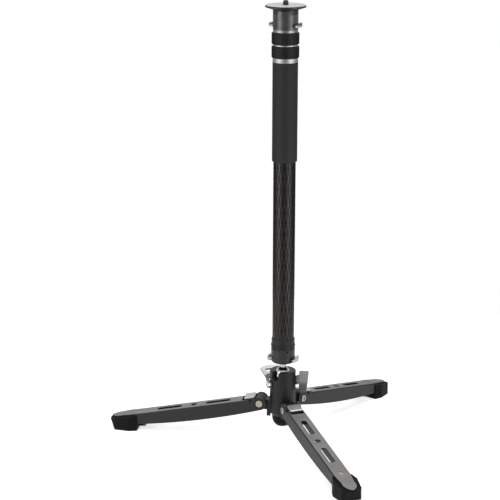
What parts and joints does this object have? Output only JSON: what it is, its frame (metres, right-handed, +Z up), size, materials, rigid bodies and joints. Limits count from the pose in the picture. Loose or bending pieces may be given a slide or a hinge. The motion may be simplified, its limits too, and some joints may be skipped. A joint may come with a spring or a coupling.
{
  "type": "camera monopod with fold-out foot base",
  "caption": "Telescopic camera monopod with twist locks, on a tilting ball base with a lock knob, a foot pedal and fold-up legs.",
  "frame": {"origin": "on the floor under the pole, at the height of the rubber feet", "axes": "+Z up the pole, one leg points along -X, the lock knob points along +X"},
  "size_m": [0.4499, 0.518, 0.7301],
  "materials": {
    "satin_black_metal": "satin black anodised",
    "housing_metal": "fine-textured black",
    "bright_ring": "turned bright",
    "platform_metal": "matt silver with a black rim",
    "steel": "plain",
    "ball_steel": "polished",
    "carbon": "carbon fibre under lacquer",
    "foam": "soft foam",
    "rubber": "matt",
    "nylon": "plain",
    "knob_plastic": "grey",
    "pedal_metal": "bead-blasted silver",
    "leg_metal": "warm grey satin",
    "spring_wire": "plain"
  },
  "bodies": {
    "base": {"ball_housing": "housing_metal", "ball_seat": "nylon", "seat_plug": "housing_metal", "clamp_pad": "nylon", "knob_washer": "nylon", "pedal_screws": "steel", "centre_foot": "rubber", "centre_foot_screw": "steel", "bracket_screws": "steel", "hinge_bolts": "steel", "left_bracket": "satin_black_metal", "front_bracket": "satin_black_metal", "right_bracket": "satin_black_metal"},
    "ball": {"pivot_ball": "ball_steel"},
    "neck": {"hex_neck": "steel"},
    "cup": {"release_cup": "satin_black_metal", "base_latch_springs": "spring_wire"},
    "base_front_latch": {"base_latch_front": "steel"},
    "base_back_latch": {"base_latch_back": "steel"},
    "pole": {"main_tube": "carbon", "grip": "foam", "tube_end_cap": "satin_black_metal", "base_spigot": "satin_black_metal", "lower_ring": "bright_ring", "lower_collet": "nylon"},
    "lower_nut": {"lower_lock_nut": "satin_black_metal", "lower_lock_sleeve": "rubber"},
    "mid": {"mid_tube": "carbon", "mid_tube_bush": "nylon", "middle_ring": "bright_ring", "upper_collet": "nylon"},
    "upper_nut": {"upper_lock_nut": "satin_black_metal", "upper_lock_sleeve": "rubber"},
    "inner": {"inner_tube": "carbon", "inner_tube_bush": "nylon", "top_ring": "bright_ring", "top_collar": "satin_black_metal", "top_latch_springs": "spring_wire"},
    "top_front_latch": {"top_latch_front": "steel"},
    "top_back_latch": {"top_latch_back": "steel"},
    "platform": {"camera_platform": "platform_metal", "camera_stud": "steel"},
    "knob": {"lock_knob": "knob_plastic", "lock_screw": "steel"},
    "pedal": {"pedal": "pedal_metal"},
    "left_leg": {"left_leg": "leg_metal", "left_foot": "rubber", "left_foot_fixing": "steel", "left_latch_spring": "spring_wire"},
    "left_release": {"left_latch": "steel"},
    "front_leg": {"front_leg": "leg_metal", "front_foot": "rubber", "front_foot_fixing": "steel", "front_latch_spring": "spring_wire"},
    "front_release": {"front_latch": "steel"},
    "right_leg": {"right_leg": "leg_metal", "right_foot": "rubber", "right_foot_fixing": "steel", "right_latch_spring": "spring_wire"},
    "right_release": {"right_latch": "steel"}
  },
  "joints": [
    {"name": "pole_swing", "type": "hinge", "parent": "base", "child": "ball", "pos_m": [0, 0, 0.1104], "axis": [0, 0, 1], "range_deg": [0, 360]},
    {"name": "pole_tilt", "type": "hinge", "parent": "ball", "child": "neck", "pos_m": [0, 0, 0.1104], "axis": [-0.866, 0.5, 0], "range_deg": [-80, 0]},
    {"name": "pole_pan", "type": "hinge", "parent": "neck", "child": "cup", "pos_m": [0, 0, 0.1104], "axis": [0, 0, 1], "continuous": true},
    {"name": "pole_lift", "type": "slide", "parent": "cup", "child": "pole", "axis": [0, 0, 1], "range_m": [0, 0.03]},
    {"name": "lower_lock_turn", "type": "hinge", "parent": "pole", "child": "lower_nut", "pos_m": [0, 0, 0.648], "axis": [0, 0, 1], "range_deg": [0, 90]},
    {"name": "mid_section_slide", "type": "slide", "parent": "pole", "child": "mid", "axis": [0, 0, 1], "range_m": [0, 0.4]},
    {"name": "upper_lock_turn", "type": "hinge", "parent": "mid", "child": "upper_nut", "pos_m": [0, 0, 0.67], "axis": [0, 0, 1], "range_deg": [0, 90]},
    {"name": "inner_section_slide", "type": "slide", "parent": "mid", "child": "inner", "axis": [0, 0, 1], "range_m": [0, 0.41]},
    {"name": "platform_lift", "type": "slide", "parent": "inner", "child": "platform", "axis": [0, 0, 1], "range_m": [0, 0.03]},
    {"name": "lock_knob_turn", "type": "hinge", "parent": "base", "child": "knob", "pos_m": [0.0355, 0, 0.1015], "axis": [1, 0, 0], "range_deg": [0, 180]},
    {"name": "pedal_press", "type": "hinge", "parent": "base", "child": "pedal", "pos_m": [0, 0, 0.095], "axis": [-0.866, -0.5, 0], "range_deg": [0, 18]},
    {"name": "base_front_latch_push", "type": "slide", "parent": "cup", "child": "base_front_latch", "axis": [-0.9877, 0.1564, 0], "range_m": [0, 0.002], "stiffness_N_per_m": 1200, "springref_m": -0.003},
    {"name": "base_back_latch_push", "type": "slide", "parent": "cup", "child": "base_back_latch", "axis": [0.9877, -0.1564, 0], "range_m": [0, 0.002], "stiffness_N_per_m": 1200, "springref_m": -0.003},
    {"name": "top_front_latch_push", "type": "slide", "parent": "inner", "child": "top_front_latch", "axis": [-0.9877, 0.1564, 0], "range_m": [0, 0.002], "stiffness_N_per_m": 1200, "springref_m": -0.003},
    {"name": "top_back_latch_push", "type": "slide", "parent": "inner", "child": "top_back_latch", "axis": [0.9877, -0.1564, 0], "range_m": [0, 0.002], "stiffness_N_per_m": 1200, "springref_m": -0.003},
    {"name": "left_leg_fold", "type": "hinge", "parent": "base", "child": "left_leg", "pos_m": [-0.0374, 0, 0.061], "axis": [0, 1, 0], "range_deg": [0, 92]},
    {"name": "left_release_push", "type": "slide", "parent": "left_leg", "child": "left_release", "axis": [-0.982, 0, -0.1891], "range_m": [0, 0.006], "stiffness_N_per_m": 300, "springref_m": -0.006},
    {"name": "front_leg_fold", "type": "hinge", "parent": "base", "child": "front_leg", "pos_m": [0.0187, -0.03239, 0.061], "axis": [-0.866, -0.5, 0], "range_deg": [0, 92]},
    {"name": "front_release_push", "type": "slide", "parent": "front_leg", "child": "front_release", "axis": [0.491, -0.8504, -0.1891], "range_m": [0, 0.006], "stiffness_N_per_m": 300, "springref_m": -0.006},
    {"name": "right_leg_fold", "type": "hinge", "parent": "base", "child": "right_leg", "pos_m": [0.0187, 0.03239, 0.061], "axis": [0.866, -0.5, 0], "range_deg": [0, 92]},
    {"name": "right_release_push", "type": "slide", "parent": "right_leg", "child": "right_release", "axis": [0.491, 0.8504, -0.1891], "range_m": [0, 0.006], "stiffness_N_per_m": 300, "springref_m": -0.006}
  ]
}
